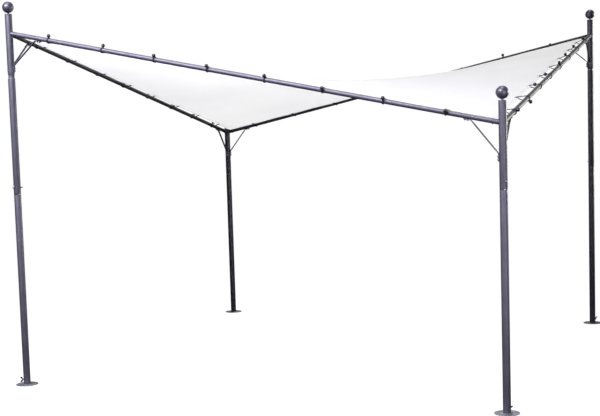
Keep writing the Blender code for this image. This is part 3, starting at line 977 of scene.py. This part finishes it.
outline = []
for first, level in ((0, HEM_HALF - 0.0002), (180, -HEM_HALF + 0.0002)):
    for k in range(9):
        angle = math.radians(first + 20 * k)
        radius = RING_MIDDLE_R + RING_HALF_WIDTH * math.cos(angle)
        outline.append((radius, level + RING_HEIGHT * math.sin(angle)))
bm = bmesh.new()
for centre in EYELETS:
    lathe(bm, outline, RING_SIDES, eyelet_place(centre))
eyelets = add_piece("canopy_eyelets", bm, nickel, (), 60)

# Hem stitching. Two rows of white polyester thread run along the inner side of the hem, on both faces, and
# end where the corners begin to curve.
thread_white, tree, shader = new_material("white_thread")
shader.inputs["Roughness"].default_value = 0.6
twist = noise(tree, object_place(tree), 900.0, 1.0)
wire(tree, two_tones(tree, twist, (0.70, 0.70, 0.69, 1), (0.88, 0.88, 0.87, 1)), shader, "Base Color")

STITCH = 0.0075
STITCH_LONG = 0.0052
STITCH_HALF = 0.0004
STITCH_ROWS = (HEM - 0.004, HEM - 0.010)
# One stitch: its tips and its middle, as shares of its length along, its half width across and its height
STITCH_POINTS = [(-0.5, 0, 0.2), (-0.2, -1, 0), (-0.2, 1, 0), (0.2, -1, 0), (0.2, 1, 0), (0.5, 0, 0.2),
                 (-0.2, 0, 1), (0.2, 0, 1)]
STITCH_FACES = [(0, 1, 6), (0, 6, 2), (1, 3, 7, 6), (2, 6, 7, 4), (3, 5, 7), (4, 7, 5)]


def add_stitch_row(points, faces, inset, lift):
    """Stitches along the straight part of all four sides, at one distance from the edge."""
    inner = REACH - ROUND_R
    count = int(2 * inner / STITCH)
    for side in range(4):
        turn = Matrix.Rotation(math.pi / 2 * side, 2)
        for k in range(count):
            middle = -inner + (k + 0.5) * 2 * inner / count
            base = len(points)
            for along, across, up in STITCH_POINTS:
                flat = turn @ Vector((middle + along * STITCH_LONG, inset - REACH + across * STITCH_HALF))
                rise = lift + math.copysign(up * 2 * STITCH_HALF, lift)
                points.append(cloth_point(flat.x, flat.y) + Vector((0, 0, rise)))
            faces += [tuple(base + corner for corner in face) for face in STITCH_FACES]


stitch_points, stitch_faces = [], []
for inset in STITCH_ROWS:
    for lift in (HEM_HALF - 0.0001, -HEM_HALF + 0.0001):
        add_stitch_row(stitch_points, stitch_faces, inset, lift)
mesh = bpy.data.meshes.new("canopy_stitches")
mesh.from_pydata(stitch_points, [], stitch_faces)
mesh.materials.append(thread_white)
stitches = add_object("canopy_stitches", mesh)
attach(stitches, "root")

# Ball bungees. A loop of 5 mm elastic cord goes through each eyelet and round the beam, and is hooked over
# its own ball, so that two cords lie side by side. Cord and ball are black.
CORD_R = 0.0025
BUNGEE_BALL_R = 0.0125
CORD_SPREAD = 0.0014
CORD_TURN_R = 0.003
CORD_DRAWN_IN = 0.003
CORD_SIDES = 8
BALL_PRESSED = 0.0015
MOULD_LINE = 0.00025
BUNGEE_BALL_SIDES = 28

elastic, tree, shader = new_material("black_elastic")
shader.inputs["Sheen Weight"].default_value = 0.05
place = object_place(tree)
braid = tree.nodes.new("ShaderNodeTexChecker")
braid.inputs["Scale"].default_value = 900
braid.inputs["Color1"].default_value = (0.005, 0.005, 0.006, 1)
braid.inputs["Color2"].default_value = (0.022, 0.022, 0.025, 1)
wire(tree, place, braid, "Vector")
wire(tree, braid.outputs["Color"], shader, "Base Color")
wire(tree, remap(tree, noise(tree, place, 700.0), 0.3, 0.7, 0.65, 0.85), shader, "Roughness")
add_bump(tree, braid.outputs["Fac"], shader, 0.5, 0.0002)

ball_black, tree, shader = new_material("black_plastic")
shader.inputs["Coat Weight"].default_value = 0.2
grain = noise(tree, object_place(tree), 300.0, 3.0)
wire(tree, two_tones(tree, grain, (0.006, 0.006, 0.008, 1), (0.016, 0.015, 0.020, 1)), shader, "Base Color")
wire(tree, remap(tree, grain, 0.3, 0.7, 0.30, 0.48), shader, "Roughness")
add_bump(tree, grain, shader, 0.2, 0.0001)


def bungee_axes(on_beam, direction, eyelet):
    """Unit vectors across the beam, with the reach to the eyelet and its lean along the beam."""
    reach = eyelet - on_beam
    lean = reach.dot(direction)
    across = reach - direction * lean
    distance = across.length
    across.normalize()
    return across, direction.cross(across), distance, lean / distance


def add_cord(bm, on_beam, direction, eyelet, sideways):
    """One of the two cords: round the beam, along over the hem, down the eyelet and back."""
    across, up, distance, lean = bungee_axes(on_beam, direction, eyelet)
    wrap = BEAM_R + CORD_R
    start = math.acos((wrap - CORD_DRAWN_IN) / distance)
    path = []
    for k in range(19):
        angle = start + (2 * math.pi - 2 * start) * k / 18
        path.append(Vector((wrap * math.cos(angle), wrap * math.sin(angle))))
    beside = HEM_HALF + RING_HEIGHT + 0.0001 + CORD_R
    spread, straight = distance - 0.016, distance - 0.006
    path += [Vector((spread, -beside - CORD_SPREAD)), Vector((straight, -beside))]
    for k in range(1, 6):
        angle = -math.pi / 2 + math.pi * k / 6
        x = distance - CORD_TURN_R + CORD_TURN_R * math.cos(angle)
        path.append(Vector((x, beside * math.sin(angle))))
    path += [Vector((straight, beside)), Vector((spread, beside + CORD_SPREAD))]
    rings = []
    for k, point in enumerate(path):
        forward = (path[(k + 1) % len(path)] - path[k - 1]).normalized()
        side = Vector((-forward.y, forward.x))
        ring = []
        for turn in around(CORD_SIDES):
            flat = point + side * CORD_R * math.cos(turn)
            shift = direction * (lean * flat.x + sideways + CORD_R * math.sin(turn))
            ring.append(bm.verts.new(on_beam + across * flat.x + up * flat.y + shift))
        rings.append(ring)
    for k, ring in enumerate(rings):
        bridge(bm, rings[k - 1], ring)


def add_ball(bm, centre, outward):
    """Moulded ball with a mould line round it and a small flat towards the beam."""
    outline = [(0.0, -BUNGEE_BALL_R + 0.0005), (0.0034, -BUNGEE_BALL_R + 0.0002)]
    for k in range(17):
        degrees = -72 + 162 * k / 17
        angle = math.radians(degrees)
        radius = BUNGEE_BALL_R + MOULD_LINE if abs(degrees) < 5 else BUNGEE_BALL_R
        outline.append((radius * math.cos(angle), BUNGEE_BALL_R * math.sin(angle)))
    outline.append((0.0, BUNGEE_BALL_R))
    lathe(bm, outline, BUNGEE_BALL_SIDES, facing(centre, outward, Vector((0.9, 0.43, 0.2))))


for name in BEAMS:
    cords, balls = bmesh.new(), bmesh.new()
    for (on_beam, direction, eyelet), (_, degrees) in zip(bungee_places(name), BUNGEES[name]):
        for sideways in (-CORD_R, CORD_R):
            add_cord(cords, on_beam, direction, eyelet, sideways)
        across, up, _, lean = bungee_axes(on_beam, direction, eyelet)
        angle = math.radians(degrees)
        outward = across * math.cos(angle) + up * math.sin(angle)
        out = BEAM_R + 2 * CORD_R + BUNGEE_BALL_R - BALL_PRESSED
        centre = on_beam + outward * out + direction * lean * out * math.cos(angle)
        add_ball(balls, centre, outward)
    add_piece(name + "_bungee_cords", cords, elastic, (), 70)
    add_piece(name + "_bungee_balls", balls, ball_black, (), 50)

# Studio. A wide pale floor under a white backdrop, with soft light from overhead, most of it on the canopy.
# Softboxes stand over the front of the gazebo, low on its right, behind it on the right and over its back.
bm = bmesh.new()
bmesh.ops.create_circle(bm, cap_ends=True, segments=96, radius=120)
floor_mesh = bpy.data.meshes.new("floor")
bm.to_mesh(floor_mesh)
bm.free()
floor_paint, tree, shader = new_material("floor_white")
shader.inputs["Roughness"].default_value = 0.9
shader.inputs["Specular IOR Level"].default_value = 0.1
shader.inputs["Emission Color"].default_value = (1, 1, 1, 1)
seen = tree.nodes.new("ShaderNodeLightPath").outputs["Is Camera Ray"]
wire(tree, colour_mix(tree, seen, (0.03, 0.03, 0.031, 1), (0.11, 0.11, 0.11, 1)), shader, "Base Color")
wire(tree, remap(tree, seen, 0.0, 1.0, 0.0, 0.952), shader, "Emission Strength")
floor_mesh.materials.append(floor_paint)
floor = add_object("floor", floor_mesh)

world = bpy.data.worlds.new("studio")
world.use_nodes = True
tree = world.node_tree
seen = tree.nodes.new("ShaderNodeLightPath").outputs["Is Camera Ray"]
split = tree.nodes.new("ShaderNodeSeparateXYZ")
wire(tree, tree.nodes.new("ShaderNodeTexCoord").outputs["Generated"], split, 0)
room = two_tones(tree, split.outputs["Z"], (0.03, 0.03, 0.033, 1), (0.05, 0.055, 0.065, 1), 0.0, 0.6)
wire(tree, colour_mix(tree, seen, room, (1, 1, 1, 1)), tree.nodes["Background"], "Color")
bpy.context.scene.world = world

overhead_lamps = [
    ("overhead", 1.4, (1.0, 1.0, 1.0), []),
    ("canopy_overhead", 3.9, (1.0, 0.99, 0.965), [canopy, eyelets, stitches]),
]
for name, energy, tint, lit_pieces in overhead_lamps:
    overhead_data = bpy.data.lights.new(name, "SUN")
    overhead_data.energy = energy
    overhead_data.color = tint
    overhead_data.angle = math.radians(10)
    overhead = add_object(name, overhead_data)
    overhead.rotation_euler = (math.radians(-3), math.radians(-2), 0)
    if lit_pieces:
        overhead.light_linking.receiver_collection = bpy.data.collections.new(name + "_pieces")
        for piece in lit_pieces:
            overhead.light_linking.receiver_collection.objects.link(piece)


def add_softbox(name, place, target, size, power, colour, spread):
    """Rectangular lamp at a place, turned to a target."""
    lamp_data = bpy.data.lights.new(name, "AREA")
    lamp_data.shape = "RECTANGLE"
    lamp_data.size, lamp_data.size_y = size
    lamp_data.energy = power
    lamp_data.color = colour
    lamp_data.spread = math.radians(spread)
    lamp = add_object(name, lamp_data)
    lamp.visible_camera = False
    lamp.location = place
    lamp.rotation_euler = (Vector(target) - lamp.location).to_track_quat("-Z", "Y").to_euler()
    return lamp


front_lamp = add_softbox("front_softbox", (-1.2, -5.0, 4.6), (-0.4, -2.1, 0.2), (4.8, 1.6), 245,
                         (0.97, 0.97, 1.14), 95)
add_softbox("low_softbox", (3.1, -3.0, 1.3), (1.7, -1.75, 1.1), (1.2, 2.4), 10, (1.0, 0.96, 1.10), 100)
add_softbox("rim_softbox", (6.5, 5.0, 2.6), (1.75, -0.9, 1.8), (3.6, 2.4), 75, (1.0, 1.0, 0.80), 60)
add_softbox("back_softbox", (-2.0, 6.2, 4.6), (-0.3, 1.6, 0.9), (3.6, 1.6), 35, (1.0, 1.0, 0.98), 80)

# The front softbox is kept off the far left post and the back beam, which stay dark.
unlit = bpy.data.collections.new("kept_off_front")
front_lamp.light_linking.receiver_collection = unlit
for piece in bpy.context.scene.objects:
    if piece.name.startswith(("back_left", "back_tube")):
        unlit.objects.link(piece)
for member in unlit.collection_objects:
    member.light_linking.link_state = "EXCLUDE"

camera_data = bpy.data.cameras.new("camera")
camera_data.sensor_width = 36
camera_data.lens = 71.78
camera_data.shift_y = 0.0533
camera_data.clip_end = 400
camera = add_object("camera", camera_data)
camera.location = (3.3288, -8.8909, 1.7577)
camera.rotation_euler = [math.radians(angle) for angle in (84.8323, 1.7405, 22.0487)]
bpy.context.scene.camera = camera
bpy.context.scene.view_settings.view_transform = "Standard"
